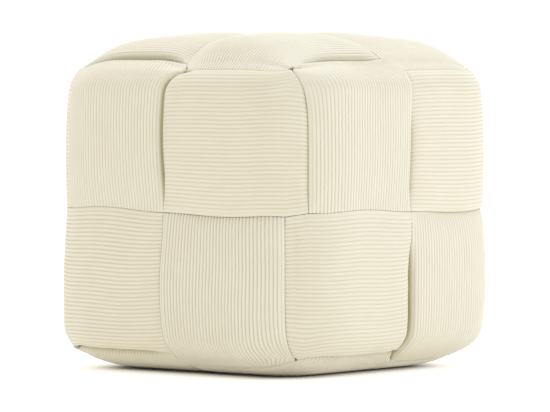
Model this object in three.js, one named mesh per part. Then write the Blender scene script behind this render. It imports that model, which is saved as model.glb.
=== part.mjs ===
// Corduroy cube pouf. Six padded corduroy bands, each a closed loop, are woven over and under
// each other into a rounded cube with two bands side by side in each direction.
// Millimetres, +Z up, the origin under the middle of the base. The wall whose outside faces -Y
// and the wall whose outside faces +X are the two that meet at the near upright edge.
import * as THREE from "three";

// The cube. Half sizes and edge rounding are listed in the order x, y, z.
const HALF_WIDTH = 227;
const HALF_HEIGHT = 209;
const UPRIGHT_ROUND = 113;
const RIM_ROUND = 56;
const TOP_DOME = 17;
const DOME_POWER = 1.25;
const LOWER_SPREAD = 4;
const LOWER_SPREAD_HEIGHT = -0.45;
const LOWER_SPREAD_REACH = 0.58;

// The bands. Two layers of band lie between the outside and the hollow middle.
const BAND_THICKNESS = 45;
const WALL_DEPTH = 2 * BAND_THICKNESS;
const HOLLOW_ROUND = 25;
const CLEARANCE = 0.3;
const PAD_CROWN = 4;
const TOP_PAD_CROWN = 9;
const CROWN_POWER = 4;
const SEAM_DEPTH = 9;
const EDGE_ROLL = 10;
const DIVE_ROLL = 16;
const WEAVE_REACH = 45;

// How far a band's side edge stands from the middle line of a wall, and from the cube's edge.
const MID_SETBACK = 1;
const UPRIGHT_SETBACK = 15;
const LEVEL_SETBACK = 12;
const TOP_EXTRA_SETBACK = 5;
const NEAR_LEAN = 3;

// How far a band widens where it dives under its neighbour at an edge of the cube.
const UPRIGHT_CORNER_FLARE = 13;
const LEVEL_CORNER_FLARE = 2;
const UPRIGHT_SEAM_FLARE = 9;
const LEVEL_SEAM_FLARE = 2;
const SEAM_BOW = 4;
const FLARE_START = 0.55;
const FLARE_POWER = 2.5;
const BEND_START = 0.5;

// Distances from a band's side edge at which its surface has points, before the middle one.
const EDGE_STEPS = [0, 4, 11, 32];

const X = 0;
const Y = 1;
const Z = 2;
const AXES = [X, Y, Z];
const HALF = [HALF_WIDTH, HALF_WIDTH, HALF_HEIGHT];
const ROUND = [UPRIGHT_ROUND, UPRIGHT_ROUND, RIM_ROUND];
const HOLLOW_HALF = HALF.map((half) => half - WALL_DEPTH);
const HOLLOW_ROUNDS = AXES.map(() => HOLLOW_ROUND);
const SETBACK = [UPRIGHT_SETBACK, UPRIGHT_SETBACK, LEVEL_SETBACK];
const CORNER_FLARE = [UPRIGHT_CORNER_FLARE, UPRIGHT_CORNER_FLARE, LEVEL_CORNER_FLARE];
const SEAM_FLARE = [UPRIGHT_SEAM_FLARE, UPRIGHT_SEAM_FLARE, LEVEL_SEAM_FLARE];
const QUARTER = Math.PI / 4;
const PILE_ROUGHNESS = 0.95;

// Half a wall, measured over its flat and round the edge to the 45 degree line.
const REACH = AXES.map((k) => HALF[k] - ROUND[k] + ROUND[k] * QUARTER);

// The six bands. across is the axis that a band is as wide as half the cube along, side says
// which half, and tint is the colour of its corduroy.
const BANDS = [
  { name: "band_upright_left", across: X, side: -1, tint: 0xe9e2cd },
  { name: "band_upright_centre", across: X, side: 1, tint: 0xebe4d0 },
  { name: "band_upright_right", across: Y, side: -1, tint: 0xede7d4 },
  { name: "band_upright_far", across: Y, side: 1, tint: 0xebe5d1 },
  { name: "band_level_upper", across: Z, side: 1, tint: 0xeae3cf },
  { name: "band_level_lower", across: Z, side: -1, tint: 0xe8e1cb },
];

const clamp = THREE.MathUtils.clamp;

// The other axis that lies in the wall.
const otherAxis = (normal, axis) => 3 - normal - axis;

// The side of the middle that a place is on, along each axis.
const signsOf = (place) => place.map((value) => (value < 0 ? -1 : 1));

// The axis across the band that lies on top in one quarter of a wall. signs names the quarter:
// the wall's own side, and the half that the quarter is in along both other axes.
function overAxis(normal, signs) {
  const odd = signs[X] * signs[Y] * signs[Z] < 0;
  return (normal + (odd ? 1 : 2)) % 3;
}

// Distance along a wall, -1 to 1, as a length on the flat and a slope round the edge.
function unroll(u, half, round) {
  const run = Math.abs(u) * (half - round + round * QUARTER);
  const flat = Math.min(run, half - round);
  const turn = clamp((run - flat) / round, 0, QUARTER);
  return { flat: Math.sign(u) * flat, slope: Math.sign(u) * Math.tan(turn) };
}

// A point on a box with rounded edges. place holds the wall's side on its own axis, and the
// distance along the wall, -1 to 1, on both others.
function roundedBox(normal, place, halves, rounds) {
  const point = [0, 0, 0];
  const spread = AXES.map((k) => unroll(k === normal ? 0 : place[k], halves[k], rounds[k]));
  const slopes = AXES.map((k) => (k === normal ? place[k] : spread[k].slope));
  const length = Math.hypot(...slopes);
  for (const k of AXES) {
    const start = k === normal ? place[k] * (halves[k] - rounds[k]) : spread[k].flat;
    point[k] = start + (rounds[k] * slopes[k]) / length;
  }
  return new THREE.Vector3(...point);
}

// How much further inwards the side edges on top lie. signs names the quarter of the wall, and
// along is the distance from its middle line. The pads of the near side lean towards the middle.
function inwardsOf(normal, signs, across, along) {
  if (normal !== Z || signs[Z] < 0) return 0;
  const leans = across === Y && signs[Y] < 0;
  return TOP_EXTRA_SETBACK + (leans ? NEAR_LEAN * (1 - along) : 0);
}

// How far the side edge of the band on top stands from the cube's edge.
function setbackOf(normal, signs, across, along) {
  const flare = CORNER_FLARE[across] * flareAt(along, otherAxis(normal, across));
  return SETBACK[across] + inwardsOf(normal, signs, across, along) - flare;
}

// How much of its flare a band has at a distance from the middle line, 0 to 1.
function flareAt(along, axis) {
  const peak = 1 - UPRIGHT_SETBACK / REACH[axis];
  if (along > peak) return (1 - along) / (1 - peak);
  return clamp((along - FLARE_START) / (peak - FLARE_START), 0, 1) ** FLARE_POWER;
}

// Bows and flares the weave's seams by moving a place along its wall.
function bendSeams(normal, place) {
  const bent = [...place];
  for (const k of AXES) {
    if (k === normal) continue;
    const m = otherAxis(normal, k);
    const along = Math.abs(place[m]);
    const signs = signsOf(place);
    const sideOver = overAxis(normal, signs) === k ? signs[k] : -signs[k];
    const bow = SEAM_BOW * Math.sin(Math.PI * along) ** 2 + SEAM_FLARE[k] * flareAt(along, m);
    bent[k] -= (sideOver * bow * (1 - Math.abs(place[k])) ** 2) / REACH[k];
    const edge = 1 - SETBACK[k] / REACH[k];
    const out = Math.abs(place[k]);
    const share =
      out > edge
        ? (1 - out) / (1 - edge)
        : clamp((out - BEND_START) / (edge - BEND_START), 0, 1) ** 2;
    const flare = overAxis(normal, signs) === k ? CORNER_FLARE[k] * flareAt(along, m) : 0;
    const outwards = flare - inwardsOf(normal, signs, k, along);
    bent[k] += (signs[k] * outwards * share) / REACH[k];
  }
  return bent;
}

// A point of the weave: lift millimetres outside the cube's skin, or inside it when negative.
function weavePoint(normal, place, lift) {
  const bent = bendSeams(normal, place);
  const skin = roundedBox(normal, bent, HALF, ROUND);
  const hollow = roundedBox(normal, bent, HOLLOW_HALF, HOLLOW_ROUNDS);
  if (normal === Z && place[Z] > 0) {
    skin.z += TOP_DOME * ((1 - bent[X] ** 2) * (1 - bent[Y] ** 2)) ** DOME_POWER;
  }
  const level = (skin.z / HALF_HEIGHT - LOWER_SPREAD_HEIGHT) / LOWER_SPREAD_REACH;
  const spread = LOWER_SPREAD * Math.cos((clamp(level, -1, 1) * Math.PI) / 2) ** 2;
  skin.x *= 1 + spread / HALF_WIDTH;
  skin.y *= 1 + spread / HALF_WIDTH;
  const outward = skin.clone().sub(hollow).normalize();
  return skin.addScaledVector(outward, lift).setZ(skin.z + HALF_HEIGHT);
}

// A quarter ellipse: how far a surface has dropped at a distance from the edge it rolls over.
function roll(distance, reach) {
  if (distance >= reach) return 0;
  return SEAM_DEPTH * (1 - Math.sqrt(1 - ((reach - distance) / reach) ** 2));
}

// 1 at an edge of a band, easing to 0 at the reach of its weave.
const weaveShare = (distance) => clamp(1 - distance / WEAVE_REACH, 0, 1) ** 2;

// How far a point stands in from the nearer side edge of the band across an axis.
function fromEdge(tau, axis) {
  return Math.min(tau * REACH[axis] - MID_SETBACK, (1 - tau) * REACH[axis] - SETBACK[axis]);
}

// How far a point stands from the nearer line at which the band that runs along axis dives.
const fromBorder = (tau, axis) => Math.min(tau, 1 - tau) * REACH[axis];

// How far a point on a band stands from the neighbour's edge that the band dives under. Round
// an edge of the cube that neighbour is the band on top of the next wall.
function fromDive(normal, place, across) {
  const along = otherAxis(normal, across);
  const tau = Math.abs(place[along]);
  const signs = signsOf(place);
  const setback = setbackOf(along, signs, normal, Math.abs(place[across]));
  return Math.min(tau * REACH[along] + MID_SETBACK, (1 - tau) * REACH[along] + setback);
}

// The surface at which the band on top rests on the band beneath, as a lift from the skin.
function contactLift(tau, axis, tauUnder, axisUnder) {
  const rise = weaveShare(fromEdge(tau, axis)) - weaveShare(fromEdge(tauUnder, axisUnder));
  return -BAND_THICKNESS + (BAND_THICKNESS - SEAM_DEPTH) * rise;
}

// 1 over the middle of a pad, falling to 0 at both of its borders.
const fullness = (tau) => 1 - (2 * tau - 1) ** CROWN_POWER;

// How far a pad's middle stands above its rim: the pads of the base are pressed flat.
function crownOf(normal, place) {
  if (normal !== Z) return PAD_CROWN;
  return place[Z] > 0 ? TOP_PAD_CROWN : 0;
}

// The lifts of a band's outer face, side edge and inner face where it lies on top.
function overLifts(normal, place, across) {
  const along = otherAxis(normal, across);
  const wide = Math.abs(place[across]);
  const far = Math.abs(place[along]);
  const crown = crownOf(normal, place) * fullness(wide) * fullness(far);
  const dive = roll(fromDive(normal, place, across), DIVE_ROLL);
  const sink = (BAND_THICKNESS - SEAM_DEPTH) * weaveShare(fromBorder(far, along));
  return {
    outer: crown - dive - roll(fromEdge(wide, across), EDGE_ROLL),
    edge: -SEAM_DEPTH - sink + CLEARANCE / 2,
    inner: contactLift(wide, across, far, along) + CLEARANCE / 2,
  };
}

// The same where the band lies beneath: the weave's inside is its outside turned over.
function underLifts(normal, place, across) {
  const along = otherAxis(normal, across);
  const wide = Math.abs(place[across]);
  const far = Math.abs(place[along]);
  const setback = (1 - far) * REACH[along] + SETBACK[normal];
  const dive = roll(Math.min(far * REACH[along] + MID_SETBACK, setback), DIVE_ROLL);
  const sink = (BAND_THICKNESS - SEAM_DEPTH) * weaveShare(fromBorder(far, along));
  return {
    outer: contactLift(far, along, wide, across) - CLEARANCE / 2,
    edge: SEAM_DEPTH - WALL_DEPTH + sink - CLEARANCE / 2,
    inner: dive + roll(fromEdge(wide, across), EDGE_ROLL) - WALL_DEPTH,
  };
}

// Distances from the middle line, 0 to 1, at which a band across this axis has points.
function pointsAcross(axis) {
  const nearMiddle = EDGE_STEPS.map((step) => (MID_SETBACK + step) / REACH[axis]);
  const nearEdge = EDGE_STEPS.map((step) => 1 - (SETBACK[axis] + step) / REACH[axis]).reverse();
  const middle = (nearMiddle.at(-1) + nearEdge[0]) / 2;
  return [...nearMiddle, middle, ...nearEdge];
}

// The rows of a band in order round the cube: the wall, and the place along it.
function rowsRound(across) {
  const first = (across + 1) % 3;
  const second = (across + 2) % 3;
  const walls = [
    { normal: first, sign: 1, along: second, way: 1 },
    { normal: second, sign: 1, along: first, way: -1 },
    { normal: first, sign: -1, along: second, way: -1 },
    { normal: second, sign: -1, along: first, way: 1 },
  ];
  const rows = [];
  for (const wall of walls) {
    const half = pointsAcross(wall.along);
    rows.push({ ...wall, at: -wall.way, rising: false, cubeEdge: true });
    for (const tau of [...half].reverse()) rows.push({ ...wall, at: -wall.way * tau, rising: false });
    for (const tau of half) rows.push({ ...wall, at: wall.way * tau, rising: true });
  }
  return rows;
}

// The lifts of a band in a row, at one point across it. Round an edge of the cube the band
// has its outer face from the wall where it lies on top, and its inner face from the other.
function liftsAt(band, row, place) {
  const onTop = overAxis(row.normal, signsOf(place)) === band.across;
  if (!row.cubeEdge) {
    return onTop
      ? overLifts(row.normal, place, band.across)
      : underLifts(row.normal, place, band.across);
  }
  const topNormal = onTop ? row.normal : row.along;
  const lowNormal = onTop ? row.along : row.normal;
  return {
    outer: overLifts(topNormal, place, band.across).outer,
    edge: -BAND_THICKNESS,
    inner: underLifts(lowNormal, place, band.across).inner,
  };
}

// One band as a closed tube: a ring of points round its section for each row.
function bandGeometry(band) {
  const taus = pointsAcross(band.across);
  const last = taus.length - 1;
  const ringSize = 2 * last;
  const rows = rowsRound(band.across);
  const positions = [];
  for (const row of rows) {
    const ring = new Array(ringSize);
    taus.forEach((tau, j) => {
      const place = [0, 0, 0];
      place[row.normal] = row.sign;
      place[row.along] = row.at;
      place[band.across] = band.side * tau;
      const lifts = liftsAt(band, row, place);
      const atEdge = j === 0 || j === last;
      ring[j] = weavePoint(row.normal, place, atEdge ? lifts.edge : lifts.outer);
      if (!atEdge) ring[ringSize - j] = weavePoint(row.normal, place, lifts.inner);
    });
    ring.forEach((point) => positions.push(point.x, point.y, point.z));
  }
  const index = [];
  rows.forEach((row, r) => {
    const next = (r + 1) % rows.length;
    for (let j = 0; j < ringSize; j++) {
      const a = r * ringSize + j;
      const b = r * ringSize + ((j + 1) % ringSize);
      const c = next * ringSize + ((j + 1) % ringSize);
      const d = next * ringSize + j;
      const outside = j < last;
      if (row.rising === outside) index.push(a, b, c, a, c, d);
      else index.push(a, b, d, b, c, d);
    }
  });
  if (signedVolume(positions, index) < 0) index.reverse();
  const geometry = new THREE.BufferGeometry();
  geometry.setAttribute("position", new THREE.Float32BufferAttribute(positions, 3));
  geometry.setIndex(index);
  return geometry;
}

// Six times the volume that the faces enclose, negative when they face inwards.
function signedVolume(positions, index) {
  const corner = (i) => new THREE.Vector3().fromArray(positions, 3 * i);
  let sum = 0;
  for (let i = 0; i < index.length; i += 3) {
    sum += corner(index[i]).dot(corner(index[i + 1]).cross(corner(index[i + 2])));
  }
  return sum;
}

// Corduroy: dyed cotton pile, soft and without shine.
function corduroy(tint) {
  return new THREE.MeshStandardMaterial({ color: tint, roughness: PILE_ROUGHNESS, metalness: 0 });
}

const pouf = new THREE.Group();
for (const band of BANDS) {
  const mesh = new THREE.Mesh(bandGeometry(band), corduroy(band.tint));
  mesh.name = band.name;
  pouf.add(mesh);
}

export default pouf;
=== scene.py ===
"""The looks of the corduroy cube pouf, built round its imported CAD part.

Six padded corduroy bands, each a closed loop, are woven over and under each other into a rounded
cube. The form is the part's own, with a much finer mesh, rounder corners and every rib of the
cloth in it. Sizes are in millimetres until a mesh is made, and +Z is up.
"""

import logging
import math
from dataclasses import dataclass, field, replace
from enum import Enum, IntEnum
from typing import NamedTuple

import bpy
import numpy as np
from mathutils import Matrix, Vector


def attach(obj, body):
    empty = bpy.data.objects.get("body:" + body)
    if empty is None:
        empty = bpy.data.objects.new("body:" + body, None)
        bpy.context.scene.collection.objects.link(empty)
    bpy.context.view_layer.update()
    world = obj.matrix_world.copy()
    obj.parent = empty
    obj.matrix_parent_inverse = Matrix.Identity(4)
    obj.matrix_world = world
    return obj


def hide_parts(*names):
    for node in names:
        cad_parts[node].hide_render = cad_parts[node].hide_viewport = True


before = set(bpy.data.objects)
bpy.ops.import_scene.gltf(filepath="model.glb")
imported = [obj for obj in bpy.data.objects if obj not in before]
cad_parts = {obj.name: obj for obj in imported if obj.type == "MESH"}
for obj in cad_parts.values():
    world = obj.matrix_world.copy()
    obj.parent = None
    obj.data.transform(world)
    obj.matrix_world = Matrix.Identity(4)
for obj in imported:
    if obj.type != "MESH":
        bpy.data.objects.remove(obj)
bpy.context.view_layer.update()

LOG = logging.getLogger("pouf")
MILLIMETRE = 0.001
HALF_RIGHT_ANGLE = math.pi / 4

# The least that a share or a length counts as where something is divided by it.
SMALL_SHARE = 1e-6
SMALL_LENGTH = 1e-9


class Axis(IntEnum):
    """The part's axes, as places in a row of three numbers."""

    X = 0
    Y = 1
    Z = 2


class Run(Enum):
    """Which way a band runs, with the name of the record's material slot."""

    UPRIGHT = "corduroy_upright"
    LEVEL = "corduroy_level"


class Layer(Enum):
    """Where a stretch of a band lies: on top, turning down at an edge of the cube, or beneath."""

    OVER = "over"
    TURNING = "turning"
    UNDER = "under"


def linear(hex_colour: str) -> tuple[float, float, float, float]:
    """Turns an sRGB colour to linear light, with the numbers of the sRGB standard.

    Args:
        hex_colour: six hex digits with a leading mark.

    Returns:
        Red, green, blue and full cover, each from 0 to 1.
    """
    channels = [int(hex_colour[i : i + 2], 16) / 255 for i in (1, 3, 5)]
    low = [c / 12.92 for c in channels]
    high = [((c + 0.055) / 1.055) ** 2.4 for c in channels]
    red, green, blue = (a if c <= 0.04045 else b for c, a, b in zip(channels, low, high))
    return red, green, blue, 1.0


def add_node(tree: bpy.types.NodeTree, kind: str, settings: dict, links: dict) -> bpy.types.Node:
    """Adds one node with its settings and links.

    Args:
        tree: the node tree that gets the node.
        kind: Blender's name for the node type.
        settings: values by name: a socket's if the node has one of that name, else a property's.
        links: output sockets by the name of the input that they feed.

    Returns:
        The new node.
    """
    node = tree.nodes.new(kind)
    for name, value in settings.items():
        if name in node.inputs:
            node.inputs[name].default_value = value
        else:
            setattr(node, name, value)
    for name, output in links.items():
        tree.links.new(output, node.inputs[name])
    return node


def signs_of(place: np.ndarray) -> np.ndarray:
    """The side of the middle that each place is on, along each axis."""
    return np.where(place < 0, -1.0, 1.0)


@dataclass(frozen=True)
class Patch:
    """Places on one wall of the cube, seen from a band that crosses it.

    Normal is the wall's own axis and across the axis across the band. A place has the wall's
    side, -1 or 1, on the wall's own axis, and the distance from the wall's middle, -1 to 1, on
    the two others.
    """

    normal: int
    across: int
    place: np.ndarray

    @property
    def along(self) -> int:
        """The axis along the band."""
        return 3 - self.normal - self.across

    @property
    def wide(self) -> np.ndarray:
        """How far each place is from the wall's middle line, across the band."""
        return np.abs(self.place[..., self.across])

    @property
    def far(self) -> np.ndarray:
        """How far each place is from the wall's middle line, along the band."""
        return np.abs(self.place[..., self.along])

    @property
    def signs(self) -> np.ndarray:
        """The side of the middle that each place is on, along each axis."""
        return signs_of(self.place)

    @property
    def is_over(self) -> np.ndarray:
        """Whether the band lies on top, by the same turn on all six walls."""
        odd = self.signs.prod(axis=-1) < 0
        return (self.normal + np.where(odd, 1, 2)) % 3 == self.across

    @property
    def is_base(self) -> bool:
        """Whether the wall is the base, which the floor presses flat."""
        return self.normal == Axis.Z and bool((self.place[..., Axis.Z] < 0).all())

    def seen_across(self, axis: int) -> "Patch":
        """The same places, seen from the band that lies across an axis."""
        return replace(self, across=axis)

    def round_edge(self) -> "Patch":
        """The same places, seen on the wall round the edge of the cube that the band turns at."""
        return Patch(self.along, self.normal, self.place)

    def shifted(self, shift: np.ndarray) -> "Patch":
        """Moves the places across the band.

        Args:
            shift: how far, where half a wall is 1.

        Returns:
            The moved places.
        """
        place = self.place.copy()
        place[..., self.across] += shift
        return replace(self, place=place)


@dataclass(frozen=True)
class DeepSeam:
    """A stretch of seam that is pulled in deeper than the rest.

    The wall is named by its own axis and side. The seam runs at right angles to the axis across,
    at the wall's middle line or, with line 1 or -1, at the side edge on that side. Half says in
    which half of the wall the stretch lies. Start and end are its distances from the middle, and
    fade the distance over which it deepens, where half a wall is 1. Extra is how many millimetres
    deeper it is, or shallower when negative.
    """

    normal: Axis
    side: int
    across: Axis
    line: int
    half: int
    extra: float
    start: float = 0.0
    end: float = 1.0
    fade: float = 0.22

    def share(self, along: np.ndarray) -> np.ndarray:
        """How deep the stretch is at distances from the wall's middle, 0 to 1."""
        rising = np.clip((along - self.start) / self.fade, 0, 1)
        return rising * np.clip((self.end - along) / self.fade, 0, 1)


@dataclass(frozen=True)
class SeamShape:
    """The run of a seam at the middle of a wall, where it differs from the usual one.

    The seam runs at right angles to the axis across, in one half of the wall. Bow and flare, in
    millimetres, and power stand for the usual ones there, and rim is how far it bends at the
    cube's edge.
    """

    normal: Axis
    side: int
    across: Axis
    half: int
    bow: float
    flare: float
    power: float
    rim: float = 0.0


@dataclass(frozen=True)
class Tug:
    """A place at which the whole weave is tugged out of its even form.

    Centre is in millimetres above the floor. Everything near it moves by shift, and what lies
    above it is pressed down by the share press. Reach says how near, along each axis, and smooth
    is the share by which the ribs fade there.
    """

    centre: tuple[float, float, float]
    shift: tuple[float, float, float]
    reach: tuple[float, float, float]
    press: float = 0.0
    smooth: float = 0.0

    def share(self, points: np.ndarray) -> np.ndarray:
        """How much the tug moves each point, 0 to 1."""
        away = (points - np.array(self.centre)) / np.array(self.reach)
        return np.exp(-(away**2).sum(axis=-1))

    def moved(self, points: np.ndarray) -> np.ndarray:
        """Moves points that are in millimetres above the floor."""
        pressed = np.clip(points - np.array(self.centre), 0, None) * (0, 0, self.press)
        return points + self.share(points)[..., None] * (np.array(self.shift) - pressed)


@dataclass(frozen=True)
class Weave:
    """The form that the bands are woven into: the part's own, with its seams and corners refined.

    Lengths are in millimetres. Crossing reach, extra reach, flare start and bend start are shares
    of half a wall, and the lower spread's height and reach are shares of half the cube's height.
    """

    # The cube, its top, its swelling low down, and the two layers of band.
    half_width: float = 227.0
    half_height: float = 209.0
    upright_round: float = 113.0
    rim_round: float = 56.0
    top_dome: float = 17.0
    dome_power: float = 1.25
    lower_spread: float = 4.0
    lower_spread_height: float = -0.45
    lower_spread_reach: float = 0.58
    band_thickness: float = 45.0
    hollow_round: float = 25.0
    clearance: float = 0.3

    # How the pads stand proud, on the walls and on the top.
    pad_crown: float = 4.0
    top_pad_crown: float = 9.0
    crown_power: float = 4.0
    top_lip: float = 2.5
    lip_power: float = 0.7

    # How deep the seams are, and how the pads roll down to them.
    seam_depth: float = 2.0
    seam_width: float = 18.0
    seam_start: float = 8.0
    corner_fall: float = 35.0
    corner_power: float = 4.0
    crossing_power: float = 16.0
    crossing_reach: float = 0.3
    edge_roll: float = 13.0
    edge_squareness: float = 0.55
    dive_roll: float = 17.0
    roll_power: float = 2.4
    weave_reach: float = 15.0

    # How far the bands stand from the middle lines and, by the axis across them, from the
    # cube's edges.
    mid_setback: float = 0.18
    setback: tuple[float, float, float] = (15.0, 15.0, 12.0)
    top_extra_setback: float = 1.0
    extra_reach: float = 0.15
    near_lean: float = 3.0

    # How far the bands widen before they dive, towards the cube's edge and towards the middle
    # line, by the axis across them.
    corner_flare: tuple[float, float, float] = (13.0, 13.0, 2.0)
    seam_flare: tuple[float, float, float] = (9.0, 9.0, 2.0)
    seam_bow: float = 4.0
    flare_start: float = 0.55
    flare_power: float = 3.5
    corner_flare_power: float = 7.0
    bend_start: float = 0.5

    # How tightly the corners of the cube close, and the slots at deep seams.
    pinch: float = 0.93
    pinch_reach: float = 32.0
    slot_width: float = 1.3
    slot_depth: float = 6.0
    slot_reach: float = 7.0

    deep_seams: tuple[DeepSeam, ...] = ()
    seam_shapes: tuple[SeamShape, ...] = ()
    tugs: tuple[Tug, ...] = ()

    @property
    def halves(self) -> np.ndarray:
        """Half the cube's size along each axis."""
        return np.array([self.half_width, self.half_width, self.half_height])

    @property
    def rounds(self) -> np.ndarray:
        """The rounding of the cube's edges, by axis."""
        return np.array([self.upright_round, self.upright_round, self.rim_round])

    @property
    def reach(self) -> np.ndarray:
        """Half a wall along each axis, over its flat and round the edge to the 45 degree line."""
        return self.halves - self.rounds + self.rounds * HALF_RIGHT_ANGLE

    @property
    def wall_depth(self) -> float:
        """The depth of two layers of band."""
        return 2 * self.band_thickness

    @staticmethod
    def rounded_box(patch: Patch, halves: np.ndarray, rounds: np.ndarray) -> np.ndarray:
        """Finds points on a box with rounded edges.

        Args:
            patch: places on a wall.
            halves: half the box's size along each axis.
            rounds: the rounding of its edges, by axis.

        Returns:
            A point for each place.
        """
        place = patch.place
        start = np.empty_like(place)
        slopes = np.empty_like(place)
        for k in Axis:
            flat_half = halves[k] - rounds[k]
            if k == patch.normal:
                start[..., k] = place[..., k] * flat_half
                slopes[..., k] = place[..., k]
                continue
            side = np.sign(place[..., k])
            run = np.abs(place[..., k]) * (flat_half + rounds[k] * HALF_RIGHT_ANGLE)
            flat = np.minimum(run, flat_half)
            turn = np.clip((run - flat) / rounds[k], 0, HALF_RIGHT_ANGLE)
            start[..., k] = side * flat
            slopes[..., k] = side * np.tan(turn)
        return start + rounds * slopes / np.linalg.norm(slopes, axis=-1, keepdims=True)

    def flare_peak(self, axis: int) -> float:
        """Where a band that runs along an axis is widest, as a share of half a wall."""
        return 1 - self.setback[Axis.X] / self.reach[axis]

    def flare_at(self, patch: Patch, power: float) -> np.ndarray:
        """Says how much of its flare a band has.

        Args:
            patch: places on a wall.
            power: how late the flare sets in.

        Returns:
            A share for each place, 1 where the band is widest.
        """
        peak = self.flare_peak(patch.along)
        rising = np.clip((patch.far - self.flare_start) / (peak - self.flare_start), 0, 1)
        return np.where(patch.far > peak, (1 - patch.far) / (1 - peak), rising**power)

    def inwards_of(self, patch: Patch) -> np.ndarray:
        """Says how much further inwards a band's side edges lie on the top.

        Args:
            patch: places on a wall.

        Returns:
            Millimetres, for each place.
        """
        if patch.normal != Axis.Z:
            return np.zeros_like(patch.far)
        leans = (patch.signs[..., Axis.Y] < 0) & (patch.across == Axis.Y)
        extra = self.top_extra_setback * np.clip((1 - patch.far) / self.extra_reach, 0, 1)
        lean = np.where(leans, self.near_lean * (1 - patch.far), 0)
        return np.where(patch.signs[..., Axis.Z] < 0, 0, extra + lean)

    def setback_of(self, patch: Patch) -> np.ndarray:
        """How far the side edge of the band on top stands from the cube's edge."""
        flare = self.corner_flare[patch.across] * self.flare_at(patch, self.corner_flare_power)
        return self.setback[patch.across] + self.inwards_of(patch) - flare

    def seam_bend(self, patch: Patch) -> np.ndarray:
        """Says how far the seam at a wall's middle line bends towards the band beneath.

        Args:
            patch: places on a wall, seen from the bands that meet at the seam.

        Returns:
            Millimetres, for each place.
        """
        wave = np.sin(math.pi * patch.far) ** 2
        usual_flare = self.seam_flare[patch.across] * self.flare_at(patch, self.flare_power)
        bend = self.seam_bow * wave + usual_flare
        for shape in self.seam_shapes:
            if (shape.normal, shape.across) != (patch.normal, patch.across):
                continue
            half, side = patch.signs[..., patch.along], patch.signs[..., patch.normal]
            share = self.flare_at(patch, shape.power)
            past = np.where(patch.far > self.flare_peak(patch.along), 1 - share, 0)
            shaped = shape.bow * wave + shape.flare * share + shape.rim * past
            bend = np.where((half == shape.half) & (side == shape.side), shaped, bend)
        return bend

    def depth_at(self, patch: Patch) -> np.ndarray:
        """Says how deep the seams are near each place.

        Args:
            patch: places on a wall.

        Returns:
            Millimetres, for each place.
        """
        place = patch.place
        depth = np.full(place.shape[:-1], self.seam_depth)
        for seam in self.deep_seams:
            if seam.normal != patch.normal:
                continue
            crossed = patch.seen_across(seam.across)
            reach = self.reach[seam.across]
            line = seam.line * (1 - self.setback[seam.across] / reach)
            away = (place[..., seam.across] - line) * reach / self.seam_width
            share = seam.share(place[..., crossed.along] * seam.half)
            extra = seam.extra * share * np.exp(-(away**2))
            extra = extra * np.clip((1 - crossed.wide) * reach / self.seam_start, 0, 1)
            depth = depth + np.where(place[..., seam.normal] * seam.side > 0, extra, 0)
        return depth

    def slot_at(self, patch: Patch) -> np.ndarray:
        """Says how far the outer face of a band stands off its neighbour at a deep seam.

        Args:
            patch: places on a wall.

        Returns:
            Millimetres, for each place.
        """
        from_middle = patch.wide * self.reach[patch.across] - self.mid_setback
        deep = np.clip((self.depth_at(patch) - self.seam_depth) / self.slot_depth, 0, 1)
        return self.slot_width * deep * np.exp(-np.clip(from_middle, 0, None) / self.slot_reach)

    def bend_seams(self, patch: Patch) -> Patch:
        """Bows and flares the weave's seams by moving places along their wall.

        Args:
            patch: places on a wall.

        Returns:
            The moved places.
        """
        bent = patch.place.copy()
        for k in Axis:
            if k == patch.normal:
                continue
            crossed = patch.seen_across(k)
            sign, wide, reach = crossed.signs[..., k], crossed.wide, self.reach[k]
            side_over = np.where(crossed.is_over, sign, -sign)
            bent[..., k] -= side_over * self.seam_bend(crossed) * (1 - wide) ** 2 / reach
            edge = 1 - self.setback[k] / reach
            rising = np.clip((wide - self.bend_start) / (edge - self.bend_start), 0, 1) ** 2
            share = np.where(wide > edge, (1 - wide) / (1 - edge), rising)
            shape = self.flare_at(crossed, self.corner_flare_power)
            flare = np.where(crossed.is_over, self.corner_flare[k] * shape, 0)
            bent[..., k] += sign * (flare - self.inwards_of(crossed)) * share / reach
        return replace(patch, place=bent)

    def points(self, patch: Patch, lift: np.ndarray) -> np.ndarray:
        """Finds points of the weave.

        Args:
            patch: places on a wall.
            lift: millimetres outside the cube's skin, or inside it when negative.

        Returns:
            A point for each place, in millimetres above the floor.
        """
        bent = self.bend_seams(patch)
        skin = self.rounded_box(bent, self.halves, self.rounds)
        hollow_rounds = np.full(3, self.hollow_round)
        hollow = self.rounded_box(bent, self.halves - self.wall_depth, hollow_rounds)
        if patch.normal == Axis.Z and not patch.is_base:
            middle = (1 - bent.place[..., Axis.X] ** 2) * (1 - bent.place[..., Axis.Y] ** 2)
            skin[..., Axis.Z] += self.top_dome * np.clip(middle, 0, 1) ** self.dome_power
        height = skin[..., Axis.Z] / self.half_height
        level = np.clip((height - self.lower_spread_height) / self.lower_spread_reach, -1, 1)
        spread = 1 + self.lower_spread * np.cos(level * math.pi / 2) ** 2 / self.half_width
        skin[..., Axis.X] *= spread
        skin[..., Axis.Y] *= spread
        outward = skin - hollow
        outward /= np.linalg.norm(outward, axis=-1, keepdims=True)
        found = self.pinch_corners(skin + outward * lift[..., None])
        found[..., Axis.Z] += self.half_height
        for tug in self.tugs:
            found = tug.moved(found)
        return found

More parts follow.
